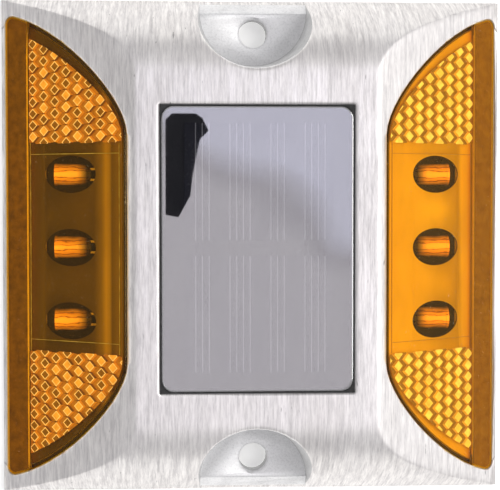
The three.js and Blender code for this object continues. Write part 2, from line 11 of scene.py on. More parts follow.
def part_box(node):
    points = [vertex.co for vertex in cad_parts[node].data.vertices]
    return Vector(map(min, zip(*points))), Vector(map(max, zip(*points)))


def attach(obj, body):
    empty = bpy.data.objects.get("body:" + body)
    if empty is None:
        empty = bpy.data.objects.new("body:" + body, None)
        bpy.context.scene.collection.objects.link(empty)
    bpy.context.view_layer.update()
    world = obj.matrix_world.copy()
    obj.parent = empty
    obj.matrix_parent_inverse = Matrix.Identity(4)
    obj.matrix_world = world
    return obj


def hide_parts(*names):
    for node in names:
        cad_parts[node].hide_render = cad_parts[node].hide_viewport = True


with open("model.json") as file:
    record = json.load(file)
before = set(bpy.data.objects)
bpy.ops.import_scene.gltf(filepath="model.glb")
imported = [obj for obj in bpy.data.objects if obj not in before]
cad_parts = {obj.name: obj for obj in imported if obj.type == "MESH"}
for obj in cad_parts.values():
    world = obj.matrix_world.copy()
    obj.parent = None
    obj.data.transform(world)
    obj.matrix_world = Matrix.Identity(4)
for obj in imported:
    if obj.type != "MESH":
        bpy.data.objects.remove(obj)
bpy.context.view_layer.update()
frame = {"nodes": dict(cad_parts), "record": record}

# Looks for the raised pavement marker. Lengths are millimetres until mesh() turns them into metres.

MM = 0.001
SIDES = {"right": 1, "left": -1}


def corners(node):
    """A CAD node's lowest and highest corners in millimetres."""
    low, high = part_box(node)
    return np.array(low) / MM, np.array(high) / MM


# Body casting
HALF_X, HALF_Y, HEIGHT = corners("housing")[1]
RIM = 1.0
TOP_HALF_X = 27.4
DOME_RUN = HALF_Y - 38.7
DOME_POWER = 2.35
SLOPE = (HEIGHT - RIM) / (HALF_X - TOP_HALF_X)
DOME_SINK = 0.12  # keeps the smooth skin inside the faceted casting that trims it
SKIN_SINK = 0.02
CREASE = 0.35  # how softly two faces of the casting meet
SKIN_DEPTH = 0.6  # a face of the casting this near the skin has been brushed
SKIN_STEP = 0.3  # spacing of the skin's points where faces meet
MARGIN = 1.5  # the skin runs this far past the casting before it is trimmed

# Bolt pockets
POCKET_R = 14.4
POCKET_Y = 55.0
DRAFT = math.tan(math.radians(6))

# Panel recess and lenses
RECESS_X = 22.0
RECESS_Y = 32.5
LENS_IN = 29.5
LENS_OUT = 58.0
LENS_STRAIGHT = 26.0
LENS_CURVE = ((LENS_IN, LENS_STRAIGHT), (29.5, 33.5), (43.8, 50.2), (56.2, 53.8))
LENS_CORNER = ((56.2, 53.8), (57.2, 54.0), (LENS_OUT, 53.2), (LENS_OUT, 52.0))
LENS_CORNER_STEPS = 8
LENS_LIP = 52.7  # the thick part of the lens ends and its thin outer lip begins here
LENS_EDGE = 0.25  # the broken front edge
LENS_SEAT_GAP = 0.2
LIP_GAP = 0.3  # from the lip to the tray and the cube corners
LENS_SINK = 0.15
LENS_BOTTOM = 2.55
LIP_BOTTOM = 0.85
TRAY_TOP = 2.7
TRAY_BOTTOM = 3.9
LED_ZONE = 21.7  # the plain stretch in front of the LEDs ends here
PRISM_ZONE = 24.1  # and the cube corners start here
PRISM_COLUMNS = 8
PRISM_OUT = 51.5  # the outermost column
PRISM_X = 2.69  # pitch of the columns
PRISM_Y = 2.7  # and of the squares in each
PRISM_ROWS = 12
PRISM_HALF = (1.08, 1.22)  # from the middle of a square to its corners, along X and Y
PRISM_FRAME = 0.78  # the inner square's share of the whole
PRISM_TOP = 1.3
PRISM_RECESS = 0.06  # how far the inner square sits below its frame
PRISM_DROP = 0.55  # from the squares down to the grid between them
PRISM_TILT = 0.06  # spread of the squares' random slopes
PRISM_SEED = {"right": 7, "left": 8}
PRISM_KINDS = ("face", "second_face", "frame", "near_side", "far_side", "odd_side")
FACE, SECOND_FACE, FRAME, NEAR_SIDE, FAR_SIDE, ODD_SIDE = range(len(PRISM_KINDS))
PRISM_SHIFT = 0.26  # how far each square sits off the middle of its cell
PRISM_START = PRISM_ZONE + 0.25  # the first row of squares
PRISM_INSET = 1.0  # from the lens edge, at the inner end
PRISM_NARROWING = 2.7  # and this much more at the outer end
PRISM_NARROWING_RUN = 8.0
RIB_INSET = 1.6
RIB_LIP_GAP = 0.5
RIB_HALF = 0.07
TRAY_INSET = 2.5
FLANGE_INSET = 0.9
FLANGE = 0.25
LED_Y = (-17.0, 0.0, 17.0)
EYE_X = 42.6
EYE_HALF = (6.05, 4.35)
LED_Z = 4.4
LED_R = 2.5
LED_RIM = 0.2  # how far the rim stands out
LED_FACE = 46.5
LED_BACK = 38.0
LEAD_Y = 1.27
LEAD_HALF = 0.25

# Cover and cells
WINDOW_LOW, WINDOW_HIGH = corners("solar_window")
WINDOW_CORNER = 2.8
FINGER_GROUPS = (3, 4, 3, 4)
FINGER_PITCH = 1.52
FINGER_FOOT = (0.12, 0.02)  # half width and height of the silver line's foot
FINGER_TOP = (0.07, 0.05)  # and of its flat top
FINGER_INSET = 0.1

# Camera, light and the cards that the cover reflects
CAMERA_LENS = 110.7
CAMERA_PLACE = (-22.2, 13.1, 367.0)
CAMERA_TURN = (-2.01, -3.4, -0.03)  # degrees
KEY_PLACE = (0.5, 0.05, 0.62)  # metres, as its size is
KEY_SIZE = (0.4, 0.4)
KEY_RADIANCE = 3.4
CEILING = 620.0  # height of the pale card
CEILING_OUTLINE = [(-120, -230), (220, -230), (220, 160), (-120, 160)]
CEILING_TURN = 26.0  # degrees, the slant of the border between its two tones
CEILING_SHIFT = -28.5
SHADE = 390.0  # height of the dark card
SHADE_OUTLINE = [(-19, 46), (-16, 49), (-5, 49), (-2, 47), (1, 41), (-3, 37), (-5, 28), (-6.5, 20),
                 (-7.5, 11), (-13, 1), (-19, 2)]
FLOOR_HALF = 0.6  # metres


# ---- meshes ----

def mesh(name, points, faces, material, smooth=30.0, side=1):
    """A mesh object from millimetre points. side -1 turns it half round, onto the -X face."""
    data = bpy.data.meshes.new(name)
    turn = np.array([side, side, 1.0])
    data.from_pydata((np.asarray(points, dtype=float) * turn * MM).tolist(), [], faces)
    data.materials.append(material)
    edit = bmesh.new()
    edit.from_mesh(data)
    bmesh.ops.remove_doubles(edit, verts=edit.verts, dist=1e-7)
    bmesh.ops.recalc_face_normals(edit, faces=edit.faces)
    edit.to_mesh(data)
    edit.free()
    data.shade_smooth()
    data.set_sharp_from_angle(angle=math.radians(smooth))
    piece = bpy.data.objects.new(name, data)
    bpy.context.scene.collection.objects.link(piece)
    return piece


def place(piece, slot, *replaced):
    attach(piece, "root")
    if replaced:
        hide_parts(*replaced)
    return piece


def boolean(piece, other, operation):
    """Cuts or trims piece by other, then throws other away."""
    step = piece.modifiers.new("cut", "BOOLEAN")
    step.object = other
    step.operation = operation
    step.solver = "MANIFOLD"
    depsgraph = bpy.context.evaluated_depsgraph_get()
    made = bpy.data.meshes.new_from_object(piece.evaluated_get(depsgraph), depsgraph=depsgraph)
    piece.modifiers.clear()
    piece.data = made
    bpy.data.objects.remove(other)
    return piece


def stack(rings):
    """A closed solid from rings of points, each a list of (x, y, z), capped at both ends."""
    count = len(rings[0])
    points = [p for ring in rings for p in ring]
    faces = []
    for low in range(0, len(points) - count, count):
        for i in range(count):
            j = (i + 1) % count
            faces.append((low + i, low + j, low + count + j, low + count + i))
    faces.append(tuple(reversed(range(count))))
    faces.append(tuple(range(len(points) - count, len(points))))
    return points, faces


def join(solids):
    """The points and faces of several stacks as one list of each."""
    points, faces = [], []
    for more_points, more_faces in solids:
        start = len(points)
        points += more_points
        faces += [tuple(i + start for i in face) for face in more_faces]
    return points, faces


def offset(outline, distance, closed=True):
    """Moves a counter-clockwise outline outwards by a distance."""
    outline = np.asarray(outline, dtype=float)
    before = outline - np.roll(outline, 1, axis=0)
    after = np.roll(outline, -1, axis=0) - outline
    if not closed:
        before[0] = after[0]
        after[-1] = before[-1]
    before /= np.linalg.norm(before, axis=1, keepdims=True)
    after /= np.linalg.norm(after, axis=1, keepdims=True)
    out = np.stack([before[:, 1] + after[:, 1], -before[:, 0] - after[:, 0]], axis=1)
    out /= np.linalg.norm(out, axis=1, keepdims=True)
    stretch = out[:, 0] * after[:, 1] - out[:, 1] * after[:, 0]
    return outline + out * (distance / stretch)[:, None]


def rounded_rectangle(half_x, half_y, radius, steps=10):
    points = []
    for quarter, (sx, sy) in enumerate(((1, 1), (-1, 1), (-1, -1), (1, -1))):
        for i in range(steps + 1):
            angle = math.pi / 2 * (quarter + i / steps)
            points.append((sx * (half_x - radius) + radius * math.cos(angle),
                           sy * (half_y - radius) + radius * math.sin(angle)))
    return points


# ---- the shape of the casting ----

def soft_min(a, b, reach):
    share = np.clip(0.5 + 0.5 * (b - a) / reach, 0, 1)
    return b + (a - b) * share - reach * share * (1 - share)


def slope_at(x):
    return RIM + (HALF_X - np.abs(x)) * SLOPE


def dome_at(y):
    share = np.clip((HALF_Y - np.abs(y)) / DOME_RUN, 0, 1)
    return RIM + (HEIGHT - RIM) * (1 - (1 - share) ** DOME_POWER)


def skin_at(x, y):
    """Height of the casting's smooth outer skin."""
    lower = soft_min(slope_at(x) - SKIN_SINK, dome_at(y) - DOME_SINK, CREASE)
    return soft_min(lower, np.full_like(lower, HEIGHT - SKIN_SINK), CREASE)


def skin_height(x, y):
    return float(skin_at(np.array([x]), np.array([y]))[0])


def bezier(controls, shares):
    """Points and unit headings along a cubic curve."""
    a, b, c, d = np.array(controls)
    t = np.asarray(shares)[:, None]
    points = a * (1 - t) ** 3 + 3 * b * t * (1 - t) ** 2 + 3 * c * t ** 2 * (1 - t) + d * t ** 3
    along = (b - a) * (1 - t) ** 2 + 2 * (c - b) * t * (1 - t) + (d - c) * t ** 2
    return points, along / np.linalg.norm(along, axis=1, keepdims=True)


def lens_outline(outwards, outer_x=2 * LENS_OUT, steps=26):
    """The D shape of a lens seen from above, counter-clockwise, grown and cut straight at any outer_x."""
    sides = []
    curve_shares = np.linspace(0, 1, steps + 1)
    corner_shares = np.linspace(0, 1, LENS_CORNER_STEPS + 1)[1:]
    for controls, shares in ((LENS_CURVE, curve_shares), (LENS_CORNER, corner_shares)):
        points, along = bezier(controls, shares)
        sides.append(points + np.stack([-along[:, 1], along[:, 0]], axis=1) * outwards)
    side = np.vstack(sides)
    kept = side[side[:, 0] < outer_x - 0.3]
    if len(kept) < len(side):
        last, heading = kept[-1], kept[-1] - kept[-2]
        kept = np.vstack([kept, last + heading * (outer_x - last[0]) / heading[0]])
    return np.vstack([kept * [1, -1], kept[::-1]])


def pocket_rim(steps=40):
    """Where a pocket's drafted wall meets the skin at the +Y end, from one side of the mouth to the other."""
    mouth = np.linspace(HALF_Y + MARGIN - 0.2, POCKET_Y, 8)[:-1]
    side = POCKET_R - (HEIGHT - dome_at(mouth)) * DRAFT
    turn = np.linspace(0, math.pi, steps + 1)
    radius = np.full_like(turn, POCKET_R)
    for _ in range(6):
        x, y = -radius * np.cos(turn), POCKET_Y - radius * np.sin(turn)
        radius = POCKET_R - (HEIGHT - skin_at(x, y)) * DRAFT
    arc = np.stack([-radius * np.cos(turn), POCKET_Y - radius * np.sin(turn)], axis=1)
    left = np.stack([-side, mouth], axis=1)
    return np.vstack([left, arc, (left * [-1, 1])[::-1]])


def distance_to(points, line, closed):
    """Distance from each point to a line of points."""
    ends = np.roll(line, -1, axis=0) if closed else line[1:]
    starts = line if closed else line[:-1]
    best = np.full(len(points), np.inf)
    for start, end in zip(starts, ends):
        along = end - start
        share = np.clip(((points - start) @ along) / (along @ along), 0, 1)
        gap = points - start - share[:, None] * along
        best = np.minimum(best, np.hypot(gap[:, 0], gap[:, 1]))
    return best


def inside(points, line):
    """Whether each point is inside a closed line of points."""
    within = np.zeros(len(points), dtype=bool)
    for (ax, ay), (bx, by) in zip(line, np.roll(line, -1, axis=0)):
        crosses = (ay > points[:, 1]) != (by > points[:, 1])
        if ay != by:
            within ^= crosses & (points[:, 0] < (bx - ax) * (points[:, 1] - ay) / (by - ay) + ax)
    return within


def openings():
    """Each opening in the skin: its outline, whether that closes, and the radius of its broken edge."""
    lens = lens_outline(0.2)
    window = np.array([[1, -1], [1, 1], [-1, 1], [-1, -1]]) * (RECESS_X, RECESS_Y)
    return [
        (window, True, 0.3),
        (lens, True, 0.35),
        (-lens, True, 0.35),
        (pocket_rim(), False, 0.55),
        (-pocket_rim(), False, 0.55),
    ]


def skin_points():
    """Points over the skin, close together where faces meet and round each opening, with their heights."""
    reach_x, reach_y = HALF_X + MARGIN, HALF_Y + MARGIN
    xs = np.linspace(-reach_x, reach_x, 2 * round(reach_x / SKIN_STEP) + 1)
    ys = np.linspace(-reach_y, reach_y, 2 * round(reach_y / SKIN_STEP) + 1)
    column, row = np.meshgrid(np.arange(len(xs)), np.arange(len(ys)), indexing="ij")
    column, row = column.ravel(), row.ravel()
    points = np.stack([xs[column], ys[row]], axis=1)
    flat_top = np.full(len(points), HEIGHT)
    levels = np.stack([slope_at(points[:, 0]), dome_at(points[:, 1]), flat_top], axis=1)
    levels.sort(axis=1)
    crease = levels[:, 1] - levels[:, 0] < CREASE * 1.5
    border = (column == 0) | (column == len(xs) - 1) | (row == 0) | (row == len(ys) - 1)
    sparse = (column % 8 == 0) & (row % 3 == 0)
    points = points[crease & (column % 2 == row % 2) | sparse | border & ((column + row) % 2 == 0)]
    rings, edges, drops = [], [], []
    for line, closed, radius in openings():
        shape = line if closed else np.vstack([line, [0, np.sign(line[0, 1]) * 2 * HALF_Y]])
        near = (distance_to(points, line, closed) < radius * 1.25) | inside(points, shape)
        points = points[~near]
        for k, share in enumerate((0, 0.08, 0.25, 0.55, 1.0)):
            ring = offset(line, radius * share, closed)
            start = sum(len(r) for r in rings)
            rings.append(ring)
            drops.append(np.full(len(ring), radius - math.sqrt(radius ** 2 - (radius - radius * share) ** 2)))
            if k == 0:
                edges += [(start + i, start + i + 1) for i in range(len(ring) - 1)]
                edges += [(start + len(ring) - 1, start)] if closed else []
    rings = np.vstack(rings)
    heights = np.concatenate([skin_at(rings[:, 0], rings[:, 1]) - np.concatenate(drops),
                              skin_at(points[:, 0], points[:, 1])])
    return np.vstack([rings, points]), heights, edges


def skin_block():
    """A closed block under the skin, wider and deeper than the casting."""
    points, heights, edges = skin_points()
    flat, _, faces, origin, _, _ = delaunay_2d_cdt([Vector(p) for p in points], edges, [], 0, 1e-6)
    edit = bmesh.new()
    for spot, source in zip(flat, origin):
        height = heights[source[0]] if source else skin_height(spot.x, spot.y)
        edit.verts.new((spot.x * MM, spot.y * MM, height * MM))
    edit.verts.ensure_lookup_table()
    for face in faces:
        edit.faces.new([edit.verts[i] for i in face])
    border = [e for e in edit.edges if len(e.link_faces) == 1]
    made = bmesh.ops.extrude_edge_only(edit, edges=border)
    lower = [v for v in made["geom"] if isinstance(v, bmesh.types.BMVert)]
    for vertex in lower:
        vertex.co.z = -RIM * MM
    bmesh.ops.holes_fill(edit, edges=[e for e in edit.edges if len(e.link_faces) == 1], sides=0)
    bmesh.ops.recalc_face_normals(edit, faces=edit.faces)
    data = bpy.data.meshes.new("housing")
    edit.to_mesh(data)
    edit.free()
    block = bpy.data.objects.new("housing_skin", data)
    bpy.context.scene.collection.objects.link(block)
    return block


def merged_copy(node):
    """A throwaway copy of a CAD node with its shared corners joined."""
    data = frame["nodes"][node].data.copy()
    edit = bmesh.new()
    edit.from_mesh(data)
    bmesh.ops.remove_doubles(edit, verts=edit.verts, dist=1e-7)
    edit.to_mesh(data)
    edit.free()
    copy = bpy.data.objects.new("trim", data)
    bpy.context.scene.collection.objects.link(copy)
    return copy


def housing(brushed, cast, wall):
    """The casting, brushed outside and as cast elsewhere; level faces get a paler copy of the cast finish as
    painted light and the steep walls of its ends a darker one as painted shade.
    """
    piece = boolean(skin_block(), merged_copy("housing"), "INTERSECT")
    data = piece.data
    data.materials.clear()
    data.materials.append(brushed)
    data.materials.append(cast)
    data.materials.append(wall)
    for face in data.polygons:
        x, y, z = np.array(face.center) / MM
        on_skin = skin_height(x, y) - z < SKIN_DEPTH and face.normal.z > 0.3
        # Level faces take the paler copy, painted light; steep end walls the darker copy, painted shade.
        level_or_middle = abs(face.normal.z) > 0.5 or abs(y) < RECESS_Y + 1
        face.material_index = 0 if on_skin else 1 if level_or_middle else 2
    data.shade_smooth()
    data.set_sharp_from_angle(angle=math.radians(32))
    return place(piece, "cast_body", "housing")


# ---- node materials ----

def feed(links, value, socket):
    """Links a socket to another one, or sets it to a constant."""
    if isinstance(value, bpy.types.NodeSocket):
        links.new(value, socket)
    else:
        socket.default_value = value


def compute(tree, operation, *values):
    node = tree.nodes.new("ShaderNodeMath")
    node.operation = operation
    for number, value in enumerate(values):
        feed(tree.links, value, node.inputs[number])
    return node.outputs["Value"]


def rescale(tree, value, low, high, to_low=0.0, to_high=1.0):
    """Maps a value from one range to another, and holds it there beyond the ends."""
    node = tree.nodes.new("ShaderNodeMapRange")
    for name, limit in (("From Min", low), ("From Max", high), ("To Min", to_low), ("To Max", to_high)):
        node.inputs[name].default_value = limit
    tree.links.new(value, node.inputs["Value"])
    return node.outputs["Result"]


def axis(tree, vector, name):
    split = tree.nodes.new("ShaderNodeSeparateXYZ")
    tree.links.new(vector, split.inputs["Vector"])
    return split.outputs[name]


class Look:
    """A node material under construction."""

    def __init__(self, name):
        self.material = bpy.data.materials.new(name)
        self.material.use_nodes = True
        self.tree = self.material.node_tree
        self.nodes = self.tree.nodes
        self.links = self.tree.links
        self.surface = self.nodes["Principled BSDF"]
        self.output = self.nodes["Material Output"]
        self.place = self.nodes.new("ShaderNodeTexCoord").outputs["Object"]

    def set(self, **values):
        for name, value in values.items():
            self.surface.inputs[name.replace("_", " ")].default_value = value
        return self

    def link(self, source, target):
        self.links.new(source, self.surface.inputs[target])

    def noise(self, scale, stretch=(1, 1, 1), detail=3.0, rough=0.5):
        """Noise with a number of blobs to the millimetre, drawn out along an axis by a small stretch."""
        mapping = self.nodes.new("ShaderNodeMapping")
        mapping.inputs["Scale"].default_value = [scale / MM * s for s in stretch]
        texture = self.nodes.new("ShaderNodeTexNoise")
        texture.inputs["Scale"].default_value = 1.0
        texture.inputs["Detail"].default_value = detail
        texture.inputs["Roughness"].default_value = rough
        self.links.new(self.place, mapping.inputs["Vector"])
        self.links.new(mapping.outputs["Vector"], texture.inputs["Vector"])
        return texture.outputs["Fac"]

    def ramp(self, source, *stops):
        """Colours or greys at positions along a 0 to 1 value."""
        node = self.nodes.new("ShaderNodeValToRGB")
        elements = node.color_ramp.elements
        while len(elements) < len(stops):
            elements.new(0.5)
        for element, (position, value) in zip(elements, stops):
            element.position = position
            element.color = (*value, 1) if isinstance(value, tuple) else (value, value, value, 1)
        self.links.new(source, node.inputs["Fac"])
        return node.outputs["Color"]

    def mix(self, share, first, second, how="MIX"):
        node = self.nodes.new("ShaderNodeMix")
        node.data_type = "RGBA"
        node.blend_type = how
        for name, value in (("Factor", share), ("A", first), ("B", second)):
            feed(self.links, value, node.inputs[name])
        return node.outputs["Result"]

    def bump(self, height, depth):
        """Relief of a depth in millimetres."""
        node = self.nodes.new("ShaderNodeBump")
        node.inputs["Distance"].default_value = depth * MM
        self.links.new(height, node.inputs["Height"])
        self.links.new(node.outputs["Normal"], self.surface.inputs["Normal"])


def brushed_aluminium():
    """Linished by hand along Y: short overlapping scratches, some deeper, over a faint stain."""
    look = Look("brushed_aluminium").set(Metallic=1.0)
    fine = look.noise(2.6, (1, 0.09, 0.09), 4.0, 0.7)
    strokes = look.noise(1.2, (1, 0.06, 0.06), 5.0, 0.8)
    stain = look.noise(0.07, (1, 0.6, 1), 4.0)
    nicks = look.noise(1.1, (1, 0.16, 0.16), 3.0, 0.6)
    pale, grey = (0.95, 0.925, 0.905), (0.6, 0.58, 0.58)
    fine_tone = look.ramp(fine, (0.36, grey), (0.62, pale))
    tone = look.mix(0.5, fine_tone, look.ramp(strokes, (0.4, grey), (0.6, pale)))
    worn = look.mix(1.0, tone, look.ramp(stain, (0.3, (0.93, 0.925, 0.92)), (0.6, 1.0)), "MULTIPLY")
    look.link(look.mix(1.0, worn, look.ramp(nicks, (0.26, 0.5), (0.31, 1.0)), "MULTIPLY"), "Base Color")
    look.link(look.ramp(strokes, (0.35, 0.55), (0.65, 0.38)), "Roughness")
    look.bump(look.mix(0.5, fine, strokes), 0.02)
    return look.material


def cast_aluminium(name, pale, metallic):
    """The casting as it leaves the die: finely pitted, with smoother and duller patches."""
    look = Look(name).set(Metallic=metallic)
    grain = look.noise(2.0, detail=5.0, rough=0.7)
    patch = look.noise(0.25, detail=3.0)
    pits = look.ramp(grain, (0.34, pale * 0.72), (0.52, pale))
    patches = look.ramp(patch, (0.3, pale * 0.85), (0.6, pale))
    look.link(look.mix(0.5, pits, patches), "Base Color")
    look.link(look.ramp(patch, (0.3, 0.6), (0.7, 0.45)), "Roughness")
    look.bump(grain, 0.08)
    return look.material


def speckled(name, dark, light, scale, rough, depth, metallic=0.0):
    """A surface mottled between two colours, with a matching roughness and relief."""
    look = Look(name).set(Metallic=metallic)
    grain = look.noise(scale, detail=4.0, rough=0.6)
    look.link(look.ramp(grain, (0.3, dark), (0.7, light)), "Base Color")
    look.link(look.ramp(grain, (0.3, rough[0]), (0.7, rough[1])), "Roughness")
    look.bump(grain, depth)
    return look.material


def clear_skin(look, tint, gloss, share):
    """Ends a look as a tinted clear body with a share of polished skin over it."""
    through = look.nodes.new("ShaderNodeBsdfTransparent")
    look.links.new(tint, through.inputs["Color"])
    mixed = look.nodes.new("ShaderNodeMixShader")
    feed(look.links, share, mixed.inputs["Fac"])
    look.links.new(through.outputs["BSDF"], mixed.inputs[1])
    look.links.new(gloss.outputs["BSDF"], mixed.inputs[2])
    look.links.new(mixed.outputs["Shader"], look.output.inputs["Surface"])
    look.nodes.remove(look.surface)
    return look.material


def clear_amber():
    """Moulded amber polycarbonate: the tint lets what is behind show, under a skin with dust and scuffs."""
    look = Look("amber_lens")
    cloud = look.noise(0.08, detail=2.0)
    tint = look.ramp(cloud, (0.3, (1.0, 0.765, 0.18)), (0.7, (1.0, 0.78, 0.2)))
    gloss = look.nodes.new("ShaderNodeBsdfGlossy")
    gloss.inputs["Color"].default_value = (1.0, 0.82, 0.5, 1)
    scuffs = look.noise(1.5, (1, 0.15, 1), 5.0, 0.7)
    look.links.new(look.ramp(scuffs, (0.4, 0.08), (0.75, 0.25)), gloss.inputs["Roughness"])
    dust = look.noise(2.2, detail=2.0, rough=0.7)
    return clear_skin(look, tint, gloss, look.ramp(dust, (0.0, 0.025), (0.69, 0.025), (0.73, 0.4)))


def tray_plastic(name, *stops):
    """White ABS with a tone along X, from stops given in millimetres from the middle; darker stops are
    painted shade and paler bands among them painted light.
    """
    look = Look(name)
    low, high = stops[0][0], stops[-1][0]
    along = rescale(look.tree, axis(look.tree, look.place, "X"), low * MM, high * MM)
    tone = look.ramp(along, *[((x - low) / (high - low), value) for x, value in stops])
    cloud = look.noise(0.12, (1, 0.5, 1), 3.0)
    look.link(look.mix(1.0, tone, look.ramp(cloud, (0.3, 0.82), (0.65, 1.0)), "MULTIPLY"), "Base Color")
    look.link(look.ramp(cloud, (0.3, 0.6), (0.7, 0.45)), "Roughness")
    look.bump(look.noise(1.0, detail=3.0), 0.02)
    return look.material


def clear_cover():
    """Polished clear polycarbonate over the cells, with a faint haze."""
    look = Look("clear_cover")
    haze = look.noise(0.1, detail=3.0)
    tint = look.ramp(haze, (0.3, (0.93, 0.93, 0.95)), (0.7, (0.97, 0.97, 0.98)))
    gloss = look.nodes.new("ShaderNodeBsdfGlossy")
    look.links.new(look.ramp(haze, (0.3, 0.008), (0.7, 0.018)), gloss.inputs["Roughness"])
    return clear_skin(look, tint, gloss, 0.33)


def prism_facets(side, painted_light_colours, painted_glow_share):
    """One colour for each kind of facet inside a lens, each a little uneven: painted reflection, light and
    shade for the way each facet faces, with a faint painted glow.
    """
    made = []
    for kind, colour in zip(PRISM_KINDS, painted_light_colours):
        look = Look(f"prism_{kind}_{side}").set(Metallic=0.1, Roughness=0.25, Emission_Strength=painted_glow_share)
        grain = look.noise(0.7, detail=4.0, rough=0.6)
        tone = look.ramp(grain, (0.3, tuple(c * 0.7 for c in colour)), (0.6, colour))
        look.link(tone, "Base Color")
        look.link(tone, "Emission Color")
        look.bump(grain, 0.02)
        made.append(look.material)
    return made


def led_epoxy():
    """Amber epoxy with a painted highlight streak along its axis, painted dark reflections beside that,
    painted shade at its inner end and a painted glow all over.
    """
    look = Look("led_epoxy").set(Roughness=0.15, Coat_Weight=0.5, Coat_Roughness=0.06)
    tree = look.tree
    from_axis = compute(tree, "PINGPONG", axis(tree, look.place, "Y"), LED_Y[2] / 2 * MM)
    waver = compute(tree, "MULTIPLY_ADD", look.noise(0.5, (0.35, 1, 0.3), 3.0, 0.6), 0.7, -0.35)
    across = compute(tree, "MULTIPLY_ADD", from_axis, 1 / (LED_R * MM), waver)
    painted_light_bands = look.ramp(across, (0.0, (1.0, 0.66, 0.5)), (0.22, (1.0, 0.6, 0.4)), (0.3, (0.3, 0.12, 0.03)),
                      (0.37, (0.85, 0.46, 0.14)), (0.55, (0.75, 0.36, 0.1)), (0.62, (0.25, 0.1, 0.03)),
                      (0.72, (0.62, 0.3, 0.1)), (1.0, (0.12, 0.06, 0.02)))
    # Painted shade, darkest at the capsule's inner end.
    outwards = compute(tree, "ABSOLUTE", axis(tree, look.place, "X"))
    lit = rescale(tree, outwards, (LED_BACK + 0.9) * MM, (LED_BACK + 3.2) * MM)
    painted_light_bands = look.mix(1.0, painted_light_bands, look.ramp(lit, (0.0, 0.06), (1.0, 1.0)), "MULTIPLY")
    look.link(painted_light_bands, "Base Color")
    look.link(painted_light_bands, "Emission Color")
    # A painted glow; the LEDs are not lit.
    look.set(Emission_Strength=0.7)
    look.bump(across, 0.05)
    return look.material


# ---- lens side ----

def sloped(outline, depth):
    """Ring of points on the lens slope, a depth straight below it."""
    return [(x, y, float(slope_at(x)) - depth) for x, y in outline]


def lens(side, sign, material):
    """The lens slab with its thinner outer lip and a broken front edge."""
    body = lens_outline(0, LENS_LIP - LENS_SEAT_GAP)
    full = lens_outline(0)
    tucked = lens_outline(-LENS_EDGE)
    rings = [sloped(full, LIP_BOTTOM), sloped(full, LENS_SINK + LENS_EDGE), sloped(tucked, LENS_SINK)]
    points, faces = stack(rings)
    piece = mesh(f"lens_{side}", points, faces, material, 25, sign)
    under, under_faces = stack([sloped(body, LENS_BOTTOM), sloped(body, LIP_BOTTOM - 0.1)])
    thick = mesh("lens_body", under, under_faces, material, 25, sign)
    boolean(piece, thick, "UNION")
    piece.data.materials.clear()
    piece.data.materials.append(material)
    return place(piece, "amber_lens", f"lens_{side}")


def lens_ribs(side, sign, material):
    """Fine moulded lines on the back of the lens, round the LED stretch."""
    inner, outer = LENS_IN + RIB_INSET, LENS_LIP - RIB_LIP_GAP
    runs = [((inner, LED_ZONE), (outer, LED_ZONE)), ((inner, -LED_ZONE), (outer, -LED_ZONE))]
    runs += [((inner, -PRISM_ZONE), (inner, PRISM_ZONE)), ((outer, -LENS_STRAIGHT), (outer, LENS_STRAIGHT))]
    ribs = []
    for start, end in runs:
        along = Vector(end) - Vector(start)
        across = Vector((-along.y, along.x)).normalized() * RIB_HALF
        ribs.append(stack([
            [(x + sx * across.x, y + sx * across.y, float(slope_at(x)) - LENS_BOTTOM - depth)
             for sx, depth in ((-1, -0.05), (1, -0.05), (0.4, 0.12), (-0.4, 0.12))]
            for x, y in (start, end)
        ]))
    points, faces = join(ribs)
    return place(mesh(f"lens_ribs_{side}", points, faces, material, 30, sign), "amber_lens")


def prism_cells():
    """Centre and column of every cube corner over the +Y prism zone, in staggered columns."""
    for column in range(-1, PRISM_COLUMNS + 1):
        for row in range(PRISM_ROWS):
            x = PRISM_OUT - column * PRISM_X
            yield column, x, PRISM_START + (row + 0.5 * ((column + 1) % 2)) * PRISM_Y


def prism_border():
    """The convex outline that the cube corners are cut off at, further in at its outer end."""
    curve = lens_outline(-PRISM_INSET, LENS_LIP - LIP_GAP, 14)
    curve = curve[curve[:, 1] > 0]
    curve[:, 1] -= PRISM_NARROWING * (1 - np.exp((LENS_IN - curve[:, 0]) / PRISM_NARROWING_RUN))
    outer, inner = curve[0, 0], curve[-1, 0]
    return np.vstack([[outer, PRISM_ZONE], curve, [inner, PRISM_ZONE]])


def trim(edit, outline, turn):
    """Cuts away whatever of a mesh lies outside a convex, counter-clockwise outline in plan."""
    for start, end in zip(outline, np.roll(outline, -1, axis=0)):
        along = end - start
        outward = np.array([along[1], -along[0]])
        geometry = edit.verts[:] + edit.edges[:] + edit.faces[:]
        bmesh.ops.bisect_plane(edit, geom=geometry, dist=1e-7, plane_co=(*start * turn * MM, 0),
                               plane_no=(*outward * turn, 0), clear_outer=True)


def prism_rings(x, y, tilt):
    """Points of one cube corner: the inner square, the square round it, and six on the grid below."""
    half = np.array(PRISM_HALF)
    square = np.array([[1, 0], [0, 1], [-1, 0], [0, -1]])
    low = PRISM_Y / 2
    tip = (PRISM_X + low * PRISM_HALF[0] / PRISM_HALF[1]) / 2
    shoulder = PRISM_X - tip
    foot = [(tip, 0), (shoulder, low), (-shoulder, low), (-tip, 0), (-shoulder, -low), (shoulder, -low)]
    foot = [(dx + PRISM_SHIFT, dy) for dx, dy in foot]
    points = []
    for ring, drop in ((square * half * PRISM_FRAME, PRISM_RECESS), (square * half, 0.0)):
        for dx, dy in ring:
            height = PRISM_TOP + drop + tilt[0] * dx + tilt[1] * dy
            points.append((x + dx, y + dy, float(slope_at(x + dx)) - height))
    for dx, dy in foot:
        points.append((x + dx, y + dy, float(slope_at(x + dx)) - PRISM_TOP - PRISM_DROP))
    return points


